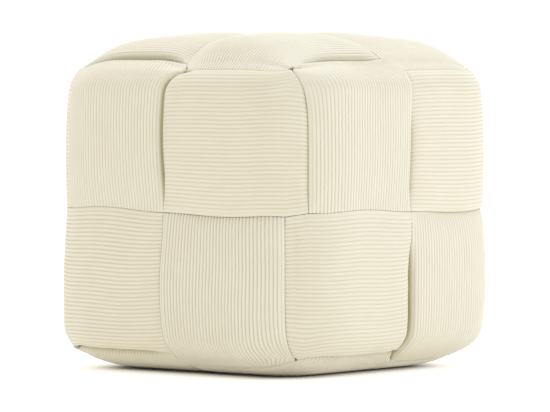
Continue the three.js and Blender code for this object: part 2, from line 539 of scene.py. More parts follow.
    def pinch_corners(self, points: np.ndarray) -> np.ndarray:
        """Draws the three bands that meet at each corner of the cube together.

        Args:
            points: points round the cube's middle.

        Returns:
            The points, moved towards the line through their corner of the cube.
        """
        corner = self.halves - self.rounds + self.rounds / math.sqrt(3)
        inner = self.halves - self.wall_depth - self.hollow_round * (1 - 1 / math.sqrt(3))
        inward = (inner - corner) / np.linalg.norm(inner - corner)
        away = np.abs(points) - corner
        along = (away @ inward)[..., None] * inward
        across = away - along
        far = np.linalg.norm(across, axis=-1, keepdims=True) / self.pinch_reach
        return points - signs_of(points) * self.pinch * np.exp(-(far**2)) * across

    def corner_drop(
        self, from_edge: np.ndarray, from_dive: np.ndarray, depth: np.ndarray, power: np.ndarray
    ) -> np.ndarray:
        """Rolls a pad down, steeply at its side edges and gently where it dives.

        Args:
            from_edge: distance from the pad's nearer side edge.
            from_dive: distance from the neighbour's edge that the pad dives under.
            depth: how deep the seams are there.
            power: 2 for round corners, and more for square ones.

        Returns:
            Millimetres of drop.
        """
        sideways = np.clip(1 - from_edge / self.edge_roll, 0, 1)
        lengthways = np.clip(1 - from_dive / self.dive_roll, 0, 1)
        near = (sideways**power + lengthways**power) ** (1 / power)
        share = np.clip(near, 0, 1)
        steep = 1 - np.sqrt(1 - share**2)
        turned = self.edge_squareness * sideways / np.maximum(sideways + lengthways, SMALL_SHARE)
        rolled = share**self.roll_power + turned * (steep - share**self.roll_power)
        return depth * rolled + self.corner_fall * np.clip(near - 1, 0, None)

    def squareness(self, patch: Patch) -> np.ndarray:
        """How square the pad's corners are: more so near the middle lines of a wall."""
        squarer = np.clip(1 - np.minimum(patch.wide, patch.far) / self.crossing_reach, 0, 1)
        return self.corner_power + squarer * self.crossing_power

    def weave_share(self, distance: np.ndarray) -> np.ndarray:
        """1 at an edge of a band, easing to 0 at the reach of its weave."""
        return np.clip(1 - distance / self.weave_reach, 0, 1) ** 2

    def from_edge(self, patch: Patch) -> np.ndarray:
        """How far each place stands in from the nearer side edge of the band."""
        cube_edge = (1 - patch.wide) * self.reach[patch.across] - self.setback[patch.across]
        return np.minimum(patch.wide * self.reach[patch.across] - self.mid_setback, cube_edge)

    def from_dive(self, patch: Patch) -> np.ndarray:
        """Measures to the neighbour's edge that the band on top dives under.

        Args:
            patch: places on a wall.

        Returns:
            Millimetres to the nearer such edge, on this wall or round the edge of the cube.
        """
        reach = self.reach[patch.along]
        near_middle = patch.far * reach + self.mid_setback
        setback = self.setback_of(patch.round_edge())
        return np.minimum(near_middle, (1 - patch.far) * reach + setback)

    def past_edge(self, patch: Patch) -> np.ndarray:
        """How many millimetres a turning band still has to go to the edge that it dives under."""
        passed = (1 - patch.far) * self.reach[patch.along] / self.setback[patch.along]
        return self.setback_of(patch.seen_across(patch.along)) * (1 - passed)

    def contact(self, patch: Patch) -> np.ndarray:
        """Finds the surface at which the band on top rests on the band beneath.

        Args:
            patch: places on a wall, seen from the band on top.

        Returns:
            Millimetres from the cube's skin.
        """
        rise = self.weave_share(self.from_edge(patch))
        rise = rise - self.weave_share(self.from_edge(patch.seen_across(patch.along)))
        return -self.band_thickness + (self.band_thickness - self.depth_at(patch)) * rise

    def crown(self, patch: Patch) -> np.ndarray:
        """Says how far a pad stands above its rim: the pads of the base are pressed flat.

        Args:
            patch: places on a wall.

        Returns:
            Millimetres, for each place.
        """
        full = self.pad_crown
        if patch.normal == Axis.Z:
            full = 0.0 if patch.is_base else self.top_pad_crown
        first = self.mid_setback / self.reach[patch.across]
        last = 1 - self.setback[patch.across] / self.reach[patch.across]
        for share in (np.clip((patch.wide - first) / (last - first), 0, 1), patch.far):
            full = full * (1 - (2 * share - 1) ** self.crown_power)
        return full

    def sink(self, patch: Patch) -> np.ndarray:
        """How far a band's side edge has gone down near the line at which the band dives."""
        border = np.minimum(patch.far, 1 - patch.far) * self.reach[patch.along]
        return (self.band_thickness - self.depth_at(patch)) * self.weave_share(border)

    def lip(self, patch: Patch, to_edge: np.ndarray, from_edge: np.ndarray) -> np.ndarray:
        """Finds how far a pad of the top puffs up just before it dives under a neighbour.

        Args:
            patch: places on a wall.
            to_edge: millimetres along the band to the edge that it dives under.
            from_edge: millimetres from the pad's nearer side edge.

        Returns:
            Millimetres, for each place.
        """
        if patch.normal != Axis.Z or patch.is_base:
            return np.zeros_like(to_edge)
        width = self.setback[Axis.X] + self.top_extra_setback
        swell = np.sin(math.pi * np.clip(to_edge / width, 0, 1) ** self.lip_power)
        return self.top_lip * swell * np.clip(from_edge / self.edge_roll, 0, 1)

    def outer_lift(self, layer: Layer, patch: Patch) -> np.ndarray:
        """Finds the lift of a band's outer face.

        Args:
            layer: where the stretch of band lies.
            patch: places on a wall.

        Returns:
            Millimetres from the cube's skin.
        """
        if layer is Layer.UNDER:
            return self.contact(patch.seen_across(patch.along)) - self.clearance / 2
        from_edge = self.from_edge(patch)
        depth = self.depth_at(patch)
        power = self.squareness(patch)
        if layer is Layer.OVER:
            drop = self.corner_drop(from_edge, self.from_dive(patch), depth, power)
            return self.crown(patch) - drop
        to_edge = self.past_edge(patch)
        drop = self.corner_drop(from_edge, to_edge, depth, power)
        return self.lip(patch, to_edge, from_edge) - drop

    def edge_lift(self, layer: Layer, patch: Patch) -> np.ndarray:
        """Finds the lift of a band's side edge.

        Args:
            layer: where the stretch of band lies.
            patch: places on a wall.

        Returns:
            Millimetres from the cube's skin.
        """
        sink = self.sink(patch)
        depth = self.depth_at(patch)
        if layer is Layer.OVER:
            return -depth - sink + self.clearance / 2
        return depth - self.wall_depth + sink - self.clearance / 2

    def inner_lift(self, layer: Layer, patch: Patch) -> np.ndarray:
        """Finds the lift of a band's inner face.

        Args:
            layer: where the stretch of band lies.
            patch: places on a wall.

        Returns:
            Millimetres from the cube's skin.
        """
        if layer is Layer.OVER:
            return self.contact(patch) + self.clearance / 2
        reach = self.reach[patch.along]
        setback = (1 - patch.far) * reach + self.setback[patch.normal]
        dive = np.minimum(patch.far * reach + self.mid_setback, setback)
        depth, power = (np.full(dive.shape, size) for size in (self.seam_depth, self.corner_power))
        return self.corner_drop(self.from_edge(patch), dive, depth, power) - self.wall_depth


@dataclass(frozen=True)
class Ribs:
    """The ribs of a jumbo corduroy: soft round wales with narrow grooves between them.

    Worn points to the side of the pouf where the grooves are shallower, and away from the side
    where they are deeper.
    """

    pitch: float = 5.1
    groove_depth: float = 0.95
    edge_fade: float = 10.0
    edge_share: float = 0.25
    # The fade at which the painted groove shade is full.
    groove_shade_full_at: float = 0.8
    worn: tuple[float, float, float] = (0.0, 0.0, 0.0)
    phases: tuple[float, ...] = (0.0, 0.12, 0.3, 0.5, 0.7, 0.88)
    roundness: float = 0.42

    # The ribs wander from their line in two slow waves, the second slanting across the band.
    # The waves' lengths are in millimetres to a radian.
    sway: float = 0.8
    sway_lengths: tuple[float, float] = (31.0, 17.0)
    second_sway: float = 0.6
    sway_slant: float = 2.0

    def height(self, phase: np.ndarray) -> np.ndarray:
        """The height of the pile across a rib, 0 in a groove and 1 on its back."""
        return np.abs(np.sin(math.pi * phase)) ** self.roundness

    def groove_shade_share(self, pile: np.ndarray, fade: np.ndarray) -> np.ndarray:
        """How much painted groove shade shows, less where the ribs fade."""
        return (1 - pile) * np.clip(fade / self.groove_shade_full_at, 0, 1)

    def wander(self, run: np.ndarray, wide: np.ndarray, seed: int) -> np.ndarray:
        """Says how far the ribs wander from their line.

        Args:
            run: millimetres along the band.
            wide: distance from the wall's middle line, 0 to 1.
            seed: the band's own number, which keeps its ribs from wandering like the others'.

        Returns:
            A share of the sway, for each place.
        """
        first, second = self.sway_lengths
        late = np.sin(run / second + self.sway_slant * wide + seed)
        return np.sin(run / first + seed) + self.second_sway * late


@dataclass(frozen=True)
class CottonCorduroy:
    """Woven cotton corduroy with a cut, brushed pile: matt, soft, and paler where it is raised.

    The pile scatters light to the side, which gives the eye a pale bloom at grazing angles.
    Its grooves are painted darker and yellower than its backs: painted shade, which makes them
    look deeper.
    """

    name: str
    back: str
    # The groove colour is painted shade in the grooves between the ribs.
    groove: str
    shaded: str
    # The crease colour paints shade into deep creases and slots and, more faintly, near the floor.
    crease: str = "#aaa072"
    roughness: float = 0.92
    ior: float = 1.46
    sheen: float = 0.25
    sheen_roughness: float = 0.45
    sheen_tint: str = "#fffaf0"

    # Brushing leaves patches some centimetres across. The tufts of a real pile are about half a
    # millimetre wide, and are drawn coarser here so that they show.
    patch_size: float = 38.0
    tuft_size: float = 0.9
    tuft_height: float = 0.25
    tuft_strength: float = 0.6

    def material(self) -> bpy.types.Material:
        """Builds the cloth's material.

        Returns:
            A material whose colour follows the attributes rib, 0 in a groove and 1 on a back,
            where the groove colour is painted shade, and crease, 1 in a deep crease, where the
            crease colour is painted shade, as it is more faintly near the floor.
        """
        material = bpy.data.materials.new(self.name)
        material.use_nodes = True
        tree = material.node_tree
        tree.nodes.clear()
        place = add_node(tree, "ShaderNodeNewGeometry", {}, {}).outputs["Position"]
        rib = add_node(tree, "ShaderNodeAttribute", {"attribute_name": "rib"}, {})
        patches = add_node(
            tree,
            "ShaderNodeTexNoise",
            {"Scale": 1 / (self.patch_size * MILLIMETRE), "Detail": 3.0, "Roughness": 0.55},
            {"Vector": place},
        )
        tufts = add_node(
            tree,
            "ShaderNodeTexNoise",
            {"Scale": 1 / (self.tuft_size * MILLIMETRE), "Detail": 2.0, "Roughness": 0.6},
            {"Vector": place},
        )
        brushed = add_node(
            tree,
            "ShaderNodeMixRGB",
            {"Color1": linear(self.shaded), "Color2": linear(self.back)},
            {"Fac": patches.outputs["Fac"]},
        )
        # Painted shade: the groove colour darkens the grooves, by the attribute rib.
        groove_shaded = add_node(
            tree,
            "ShaderNodeMixRGB",
            {"Color1": linear(self.groove)},
            {"Fac": rib.outputs["Fac"], "Color2": brushed.outputs["Color"]},
        )
        # Painted shade: the crease colour darkens deep creases and the cloth near the floor, by the
        # attribute crease.
        pressed = add_node(tree, "ShaderNodeAttribute", {"attribute_name": "crease"}, {})
        crease_shaded = add_node(
            tree,
            "ShaderNodeMixRGB",
            {"Color2": linear(self.crease)},
            {"Fac": pressed.outputs["Fac"], "Color1": groove_shaded.outputs["Color"]},
        )
        pile = add_node(
            tree,
            "ShaderNodeBump",
            {"Strength": self.tuft_strength, "Distance": self.tuft_height * MILLIMETRE},
            {"Height": tufts.outputs["Fac"]},
        )
        cloth = add_node(
            tree,
            "ShaderNodeBsdfPrincipled",
            {
                "Roughness": self.roughness,
                "IOR": self.ior,
                "Sheen Weight": self.sheen,
                "Sheen Roughness": self.sheen_roughness,
                "Sheen Tint": linear(self.sheen_tint),
            },
            {
                "Base Color": crease_shaded.outputs["Color"],
                "Normal": pile.outputs["Normal"],
            },
        )
        add_node(tree, "ShaderNodeOutputMaterial", {}, {"Surface": cloth.outputs["BSDF"]})
        return material


class Face(Enum):
    """The faces of a band, which are meshed one by one."""

    OUTER = "outer"
    EDGE = "edge"
    INNER = "inner"


class Row(NamedTuple):
    """One row of points across a band.

    Normal and side name the wall, along is the axis along the band, and place is the distance
    from the wall's middle line, -1 to 1.
    """

    normal: int
    side: int
    along: int
    place: float
    layer: Layer


class Columns(NamedTuple):
    """The columns of points along a band's outer face.

    Each has its distance from the wall's middle line, the height of the pile, and how far it
    stands clear of the rolled edges, all 0 to 1.
    """

    distances: np.ndarray
    pile: np.ndarray
    clear: np.ndarray


class Tube(NamedTuple):
    """The mesh of a band.

    It has points in millimetres, the numbers of the four corners of each face, the values by
    name that its points carry, and whether each face is shaded smooth.
    """

    points: np.ndarray
    faces: np.ndarray
    attributes: dict[str, np.ndarray]
    smooth: np.ndarray


@dataclass
class Band:
    """One padded band of the weave: a closed loop of corduroy with soft filling."""

    name: str
    across: Axis
    side: int
    run: Run
    seed: int
    weave: Weave = field(default_factory=Weave)
    ribs: Ribs = field(default_factory=Ribs)

    # Distances in millimetres between rows along the band, and shares of a turn at an edge.
    row_step: float = 5.0
    dive_rows: tuple[float, ...] = (0.0, 0.8, 1.8, 3.2, 5.0, 7.5, 10.5, 14.0)
    turn_rows: tuple[float, ...] = (0.17, 0.34, 0.5, 0.63, 0.74, 0.84, 0.92, 0.98)
    under_steps: tuple[float, ...] = (1.5, 3.5, 6.0, 9.0, 13.0, 20.0, 36.0)
    under_middle: int = 4

    # The fine steps over a pad along which its curved width is measured.
    fine_steps: int = 4001

    # Soft unevenness of the filling, and gathers at the dives. Swells are in radians to half a
    # wall and gather lengths in millimetres to a radian. The wall shift and the step between the
    # walls' seeds keep one wall's swells from being the next one's.
    slackness: float = 1.6
    swells: tuple[float, ...] = (3.1, 4.7, 7.3)
    wall_shift: float = 3.0
    wall_seed_step: int = 7
    gather_depth: float = 1.0
    gather_reach: float = 16.0
    gather_lengths: tuple[float, float] = (6.1, 4.3)
    gather_shift: float = 6.0
    rim_width: float = 12.0

    # The drop at which a surface starts to count as a crease and gets painted crease shade, and
    # that of a full one.
    crease_start: float = 3.0
    crease_depth: float = 7.0
    # The painted shade that darkens the outer face towards the floor: the height it reaches and its
    # strength.
    base_height: float = 60.0
    base_painted_shade: float = 0.13

    def columns(self) -> Columns:
        """Spaces the columns of the outer face so that every rib has its own.

        Returns:
            The columns, from the wall's middle line outwards.
        """
        weave = self.weave
        reach = weave.reach[self.across]
        width = reach - weave.mid_setback - weave.setback[self.across]
        fine = np.linspace(0, width, self.fine_steps)
        sizes = (weave.dive_roll, weave.seam_depth, weave.corner_power)
        level_sizes = (np.full(fine.shape, size) for size in sizes)
        level = -weave.corner_drop(np.minimum(fine, width - fine), *level_sizes)
        length = np.concatenate([[0], np.cumsum(np.hypot(np.diff(fine), np.diff(level)))])
        count = round(length[-1] / self.ribs.pitch)
        phase = np.array([rib + part for rib in range(count) for part in self.ribs.phases])
        phase = np.append(phase, count)
        run = phase * length[-1] / count
        clear = np.clip(np.minimum(run, length[-1] - run) / self.ribs.edge_fade, 0, 1)
        clear = self.ribs.edge_share + (1 - self.ribs.edge_share) * clear
        across = np.interp(run, length, fine)
        return Columns((across + weave.mid_setback) / reach, self.ribs.height(phase), clear)

    def inner_columns(self) -> np.ndarray:
        """Spaces the few columns of the inner face, which doesn't show.

        Returns:
            Distances from the wall's middle line, 0 to 1.
        """
        weave = self.weave
        reach = weave.reach[self.across]
        low = [(weave.mid_setback + step) / reach for step in self.under_steps]
        high = [1 - (weave.setback[self.across] + step) / reach for step in self.under_steps]
        return np.array([*low, (low[-1] + high[-1]) / 2, *reversed(high)])

    def rows(self) -> list[Row]:
        """Lists the rows round the loop.

        Returns:
            The rows, wall by wall.
        """
        first, second = (self.across + 1) % 3, (self.across + 2) % 3
        walls = [
            (first, 1, second, 1),
            (second, 1, first, -1),
            (first, -1, second, -1),
            (second, -1, first, 1),
        ]
        found = []
        for normal, side, along, way in walls:
            for half in (-way, way):
                place = np.zeros(3)
                place[normal], place[along], place[self.across] = side, half, self.side
                over = bool(Patch(normal, self.across, place).is_over)
                distances = self.half_rows(along, over)
                if half == -way:
                    edge = (1.0, Layer.OVER if over else Layer.TURNING)
                    distances = [edge, *reversed(distances)]
                for distance, layer in distances:
                    found.append(Row(normal, side, along, half * distance, layer))
        return found

    def half_rows(self, axis: int, over: bool) -> list[tuple[float, Layer]]:
        """Spaces the rows of half a wall.

        Args:
            axis: the axis along the band.
            over: whether the band lies on top there.

        Returns:
            The distance from the middle line, 0 to 1, and where the band lies, from the middle
            line outwards.
        """
        weave = self.weave
        reach = weave.reach[axis]
        if over:
            start = self.dive_rows[-1] + weave.mid_setback
            count = round((reach - start) / self.row_step)
            even = np.linspace(start, reach, count, endpoint=False)[1:]
            distances = [(weave.mid_setback + step) / reach for step in self.dive_rows]
            return [(distance, Layer.OVER) for distance in [*distances, *(even / reach)]]
        setback = weave.setback[axis]
        steps = (0.0, *self.under_steps)
        low = [(weave.mid_setback + step) / reach for step in steps]
        high = [1 - (setback + step) / reach for step in reversed(steps)]
        between = np.linspace(low[-1], high[0], self.under_middle + 2)[1:-1]
        turning = [1 - setback * share / reach for share in reversed(self.turn_rows)]
        found = [(distance, Layer.UNDER) for distance in [*low, *between, *high]]
        return found + [(distance, Layer.TURNING) for distance in turning]

    def slack(self, patch: Patch) -> np.ndarray:
        """Says how far the filling falls short, in slow swells and with gathers at the ends.

        Args:
            patch: places on a wall.

        Returns:
            Millimetres inwards, never negative.
        """
        rng = np.random.default_rng(self.seed + self.wall_seed_step * patch.normal)
        sideways = patch.place[..., self.across]
        onward = patch.place[..., patch.along] + self.wall_shift * patch.place[..., patch.normal]
        swell = np.zeros(sideways.shape)
        for scale in self.swells:
            turn, push = rng.uniform(0, math.pi), rng.uniform(0, 2 * math.pi)
            slanting = sideways * math.cos(turn) + onward * math.sin(turn)
            swell += np.sin(scale * slanting + push) / len(self.swells)
        run = sideways * self.weave.reach[self.across]
        first, second = self.gather_lengths
        waves = np.sin(run / first + rng.uniform(0, self.gather_shift))
        waves = waves + np.sin(run / second + onward)
        near = np.exp(-np.clip(self.weave.from_dive(patch), 0, None) / self.gather_reach)
        # The waves and the swell are both brought to between 0 and 1.
        gathers = self.gather_depth * near * (0.5 + 0.25 * waves)
        return self.slackness * (0.5 + 0.5 * swell) + gathers

    def inside(self, layer: Layer, patch: Patch) -> np.ndarray:
        """Says how far a place is from the pad's edges and dives.

        Args:
            layer: where the stretch of band lies.
            patch: places on a wall.

        Returns:
            For each place, from 0 to 1 at the rim width.
        """
        weave = self.weave
        dive = weave.from_dive(patch) if layer is Layer.OVER else weave.past_edge(patch)
        return np.clip(np.minimum(weave.from_edge(patch), dive) / self.rim_width, 0, 1)

    def sway(self, patch: Patch) -> np.ndarray:
        """Says how far the ribs wander sideways.

        Args:
            patch: places on a wall.

        Returns:
            For each place, where half a wall is 1.
        """
        # Nothing at the pad's side edges, and 1 halfway between them.
        window = np.clip(4 * patch.wide * (1 - patch.wide), 0, 1) ** 2
        run = patch.place[..., patch.along] * self.weave.reach[patch.along]
        wander = self.ribs.wander(run, patch.wide, self.seed)
        return self.side * window * self.ribs.sway * wander / self.weave.reach[self.across]

    def painted_crease_shade_at(self, lift: np.ndarray) -> np.ndarray:
        """How much painted crease shade the outer face gets, by how deep in a crease it lies, 0 to
        1.
        """
        return np.clip((-lift - self.crease_start) / self.crease_depth, 0, 1)

    def base_shade(self, outer: np.ndarray) -> np.ndarray:
        """How much painted shade darkens the outer face towards the floor, 0 to 1."""
        return self.base_painted_shade * np.clip(1 - outer[..., Axis.Z] / self.base_height, 0, 1)

    def soft_face(self, layer: Layer, patch: Patch) -> tuple[np.ndarray, np.ndarray]:
        """Lays a stretch of the outer face, with its slack, swaying ribs and slots.

        Args:
            layer: where the stretch of band lies.
            patch: places on a wall.

        Returns:
            Points, and how much painted crease shade each gets, by how deep in a crease it lies.
        """
        lift = self.weave.outer_lift(layer, patch)
        crease = self.painted_crease_shade_at(lift)
        if layer is not Layer.UNDER and not patch.is_base:
            lift = lift - self.slack(patch) * self.inside(layer, patch)
        swayed = patch.shifted(self.sway(patch))
        if layer is Layer.OVER:
            slot = self.side * self.weave.slot_at(swayed) / self.weave.reach[self.across]
            swayed = swayed.shifted(slot)
        return self.weave.points(swayed, lift), crease

    def grid(
        self, rows: list[Row], distances: np.ndarray, face: Face
    ) -> tuple[np.ndarray, np.ndarray]:
        """Finds the points of one face of the band.

        Args:
            rows: the rows round the loop.
            distances: the columns' distances from the middle line, 0 to 1.
            face: which face.

        Returns:
            Points by row and column, and how much painted crease shade each gets, by how deep in a
            crease it lies: 1 on hidden faces.
        """
        found = np.empty((len(rows), len(distances), 3))
        crease = np.ones((len(rows), len(distances)))
        stretches = [(row.normal, row.side, row.along, row.layer) for row in rows]
        for stretch in dict.fromkeys(stretches):
            normal, side, along, layer = stretch
            chosen = [i for i, other in enumerate(stretches) if other == stretch]
            place = np.zeros((len(chosen), len(distances), 3))
            place[..., normal] = side
            place[..., along] = np.array([rows[i].place for i in chosen])[:, None]
            place[..., self.across] = self.side * distances
            patch = Patch(normal, self.across, place)
            if face is Face.OUTER:
                found[chosen], crease[chosen] = self.soft_face(layer, patch)
            elif face is Face.EDGE:
                found[chosen] = self.weave.points(patch, self.weave.edge_lift(layer, patch))
            else:
                found[chosen] = self.weave.points(patch, self.weave.inner_lift(layer, patch))
        return found, crease

    def ribbed_face(
        self, rows: list[Row], columns: Columns
    ) -> tuple[np.ndarray, np.ndarray, np.ndarray]:
        """Lays the outer face and presses the grooves between the ribs into it.

        Args:
            rows: the rows round the loop.
            columns: the columns of the face.

        Returns:
            Points by row and column, and for each how much of the rib's back colour shows, the rest
            being painted groove shade, and how much painted shade it gets by how deep in a crease
            it lies and how near the floor, both 0 to 1.
        """
        outer, crease = self.grid(rows, columns.distances, Face.OUTER)
        down = np.roll(outer, -1, axis=0) - np.roll(outer, 1, axis=0)
        normals = np.cross(down, np.gradient(outer, axis=1))
        normals /= np.maximum(np.linalg.norm(normals, axis=-1, keepdims=True), SMALL_LENGTH)
        from_centre = outer - np.array([0, 0, self.weave.half_height])
        facing = np.sign((from_centre * normals).sum(axis=-1, keepdims=True))
        less_worn = 1 - (from_centre / self.weave.half_width) @ np.array(self.ribs.worn)
        for tug in self.weave.tugs:
            less_worn *= 1 - tug.smooth * tug.share(outer)
        grooves = (1 - columns.pile) * columns.clear * less_worn
        outer -= normals * facing * (self.ribs.groove_depth * grooves)[..., None]
        dark = self.ribs.groove_shade_share(columns.pile, less_worn * columns.clear)
        return outer, 1 - np.clip(dark, 0, 1), np.maximum(crease, self.base_shade(outer))

    def tube(self) -> Tube:
        """Builds the band as a closed tube.

        Returns:
            Its mesh, with the attributes rib, 0 in a groove, where the groove colour paints shade,
            and
            1 on a back, and crease, the painted shade of creases and of the cloth near the floor, 1
            in a deep crease. The hidden faces aren't smooth, so that they leave no shade on others.
        """
        rows = self.rows()
        columns = self.columns()
        width = len(columns.distances)
        outer, back_colour_share, painted_shade_share = self.ribbed_face(rows, columns)
        ends, _ = self.grid(rows, columns.distances[[-1, 0]], Face.EDGE)
        inner, _ = self.grid(rows, self.inner_columns()[::-1], Face.INNER)
        ring = np.concatenate([outer, ends[:, :1], inner, ends[:, 1:]], axis=1)
        count, size = ring.shape[:2]
        numbers = np.arange(count * size).reshape(count, size)
        below = np.roll(numbers, -1, axis=0)
        faces = np.stack(
            [numbers, np.roll(numbers, -1, axis=1), np.roll(below, -1, axis=1), below], axis=-1
        ).reshape(-1, 4)
        rib = np.zeros((count, size))
        rib[:, :width] = back_colour_share
        crease = np.ones((count, size))
        crease[:, :width] = painted_shade_share
        points = ring.reshape(-1, 3)
        if self.volume(points, faces) < 0:
            faces = faces[:, ::-1]
        under = np.array([row.layer is Layer.UNDER for row in rows])
        smooth = np.zeros((count, size), dtype=bool)
        smooth[:, : width - 1] = ~(under & np.roll(under, -1))[:, None]
        return Tube(points, faces, {"rib": rib.ravel(), "crease": crease.ravel()}, smooth.ravel())

    @staticmethod
    def volume(points: np.ndarray, faces: np.ndarray) -> float:
        """Six times the volume that four-sided faces enclose, negative if they face inwards."""
        a, b, c, d = (points[faces[:, i]] for i in range(4))
        return float((np.cross(b, c) * a).sum() + (np.cross(c, d) * a).sum())

    def build(self, finishes: dict[Run, bpy.types.Material]) -> bpy.types.Object:
        """Makes the band's object and dresses it.

        Args:
            finishes: the material for each way that a band runs.

        Returns:
            The band, riding on the frame in place of its CAD node.
        """
        tube = self.tube()
        faces = tube.faces
        mesh = bpy.data.meshes.new(f"{self.name}_cloth")
        mesh.vertices.add(len(tube.points))
        mesh.vertices.foreach_set("co", (tube.points * MILLIMETRE).astype(np.float32).ravel())
        mesh.loops.add(faces.size)
        mesh.loops.foreach_set("vertex_index", faces.astype(np.int32).ravel())
        mesh.polygons.add(len(faces))
        mesh.polygons.foreach_set("loop_start", np.arange(0, faces.size, 4, dtype=np.int32))
        mesh.update(calc_edges=True)
        mesh.validate()
        mesh.polygons.foreach_set("use_smooth", tube.smooth)
        for name, values in tube.attributes.items():
            attribute = mesh.attributes.new(name, "FLOAT", "POINT")
            attribute.data.foreach_set("value", values.astype(np.float32))
        mesh.materials.append(finishes[self.run])
        band = bpy.data.objects.new(f"{self.name}_cloth", mesh)
        bpy.context.scene.collection.objects.link(band)
        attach(band, "root")
        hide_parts(self.name)
        return band


# Seams that the photograph shows dark are deep, and those on the hidden walls vary likewise.
# Each row names the wall, the axis across the seam, its line, its half and how much deeper it is.
DEEP_SEAMS = (
    DeepSeam(Axis.Y, -1, Axis.X, 0, 1, 7.0, start=0.04, end=1.2),
    DeepSeam(Axis.Y, -1, Axis.X, 0, -1, 1.0, start=-0.3, end=1.3),
    DeepSeam(Axis.Y, -1, Axis.Z, 0, 1, 2.1),
    DeepSeam(Axis.Y, -1, Axis.Z, 0, -1, -0.7, start=-0.3, end=1.3),
    DeepSeam(Axis.Y, -1, Axis.X, 1, 1, 1.0),
    DeepSeam(Axis.Y, -1, Axis.X, 1, -1, 1.0, start=0.2),
    DeepSeam(Axis.Y, -1, Axis.Z, -1, -1, 8.0, end=1.2),
    DeepSeam(Axis.X, 1, Axis.Y, 0, -1, 11.0, start=0.18, end=1.2),
    DeepSeam(Axis.X, 1, Axis.Z, 0, -1, -1.2, start=-0.3, end=1.3),
    DeepSeam(Axis.X, 1, Axis.Z, -1, -1, 4.5, end=1.2),
    DeepSeam(Axis.X, 1, Axis.Y, 0, 1, 5.0, start=-0.05, end=0.75),
    DeepSeam(Axis.X, 1, Axis.Y, -1, 1, 3.0, start=-0.1, end=0.95),
    DeepSeam(Axis.X, 1, Axis.Z, 0, 1, 2.5, end=1.2),
    DeepSeam(Axis.Z, 1, Axis.Y, -1, -1, 20.0, end=0.95),
    DeepSeam(Axis.Z, 1, Axis.Y, -1, -1, -1.5, start=0.8, end=1.3),
    DeepSeam(Axis.Z, 1, Axis.Y, -1, 1, 1.0, start=-0.1),
    DeepSeam(Axis.Z, 1, Axis.X, 1, -1, 15.0, end=0.8),
    DeepSeam(Axis.Z, 1, Axis.X, 1, -1, -5.0, start=0.62, end=1.3),
    DeepSeam(Axis.Z, -1, Axis.Y, -1, 1, 5.0),
    DeepSeam(Axis.Y, 1, Axis.X, 0, 1, 5.0, end=1.2),
    DeepSeam(Axis.X, -1, Axis.Y, 0, -1, 5.0, end=1.2),
    DeepSeam(Axis.Z, 1, Axis.Y, 1, 1, 4.0),
)

# Seams at the walls' middle lines that the photograph shows bowed or flared in their own way.
SEAM_SHAPES = (
    SeamShape(Axis.Y, -1, Axis.X, 1, bow=-6.0, flare=19.0, power=16.0, rim=8.0),
    SeamShape(Axis.Z, 1, Axis.X, -1, bow=4.0, flare=2.0, power=3.5, rim=-8.0),
    SeamShape(Axis.Y, -1, Axis.X, -1, bow=4.0, flare=-4.0, power=2.5),
    SeamShape(Axis.Y, -1, Axis.Z, -1, bow=5.5, flare=2.0, power=3.5),
    SeamShape(Axis.X, 1, Axis.Z, -1, bow=5.0, flare=2.0, power=3.5),
)

# The tuck and the slump of the near left rim, the near corner that has sunk and whose ribs are
# pressed smooth, the near right rim that has sunk, and the left corner that bulges low down and
# is drawn out at its foot.
TUGS = (
    Tug((4.0, -192.0, 391.5), (4.0, 0.0, -1.0), (24.0, 65.0, 22.0), press=0.92, smooth=0.7),
    Tug((-50.0, -185.0, 405.0), (0.0, 0.0, -1.0), (60.0, 50.0, 40.0)),
    Tug((160.0, -160.0, 385.0), (-6.0, -5.0, -2.0), (35.0, 35.0, 35.0)),
    Tug((165.0, -155.0, 390.0), (0.0, 0.0, 0.0), (50.0, 50.0, 40.0), smooth=1.0),
    Tug((200.0, -60.0, 405.0), (0.0, 0.0, -2.5), (50.0, 90.0, 40.0)),
    Tug((-190.0, -190.0, 45.0), (-5.0, -4.0, 0.0), (70.0, 70.0, 35.0)),
    Tug((-180.0, -180.0, 7.0), (-14.0, -11.0, 0.0), (60.0, 60.0, 14.0)),
)

POUF_WEAVE = Weave(deep_seams=DEEP_SEAMS, seam_shapes=SEAM_SHAPES, tugs=TUGS)
CENTRE_RIBS = Ribs(groove_depth=2.1, worn=(0.5, 0.0, 0.0))
RIGHT_RIBS = Ribs(groove_depth=1.3, worn=(0.0, -0.45, 0.0))
UPPER_RIBS = Ribs(groove_depth=0.55, worn=(0.0, -0.15, 0.0))
LOWER_RIBS = Ribs(groove_depth=0.7, worn=(0.2, 0.1, 0.0))


@dataclass
class Pouf:
    """The six bands, with their cloth."""

    bands: tuple[Band, ...] = (
        Band("band_upright_left", Axis.X, -1, Run.UPRIGHT, 11, weave=POUF_WEAVE),
        Band("band_upright_centre", Axis.X, 1, Run.UPRIGHT, 23, ribs=CENTRE_RIBS, weave=POUF_WEAVE),
        Band("band_upright_right", Axis.Y, -1, Run.UPRIGHT, 31, ribs=RIGHT_RIBS, weave=POUF_WEAVE),
        Band("band_upright_far", Axis.Y, 1, Run.UPRIGHT, 47, weave=POUF_WEAVE),
        Band("band_level_upper", Axis.Z, 1, Run.LEVEL, 59, ribs=UPPER_RIBS, weave=POUF_WEAVE),
        Band("band_level_lower", Axis.Z, -1, Run.LEVEL, 67, ribs=LOWER_RIBS, weave=POUF_WEAVE),
    )
    upright_cloth: CottonCorduroy = CottonCorduroy(
        "cream_cotton_corduroy_upright", back="#d6d1c2", groove="#c3b99d", shaded="#d0cab9"
    )
    level_cloth: CottonCorduroy = CottonCorduroy(
        "cream_cotton_corduroy_level", back="#d4cebe", groove="#c4b99d", shaded="#cec7b5"
    )

    def build(self) -> list[bpy.types.Object]:
        """Builds every band.

        Returns:
            The bands' objects.
        """
        finishes = {
            Run.UPRIGHT: self.upright_cloth.material(),
            Run.LEVEL: self.level_cloth.material(),
        }
        found = []
        for band in self.bands:
            made = band.build(finishes)
            LOG.info("%s: %d faces", made.name, len(made.data.polygons))
            found.append(made)
        return found


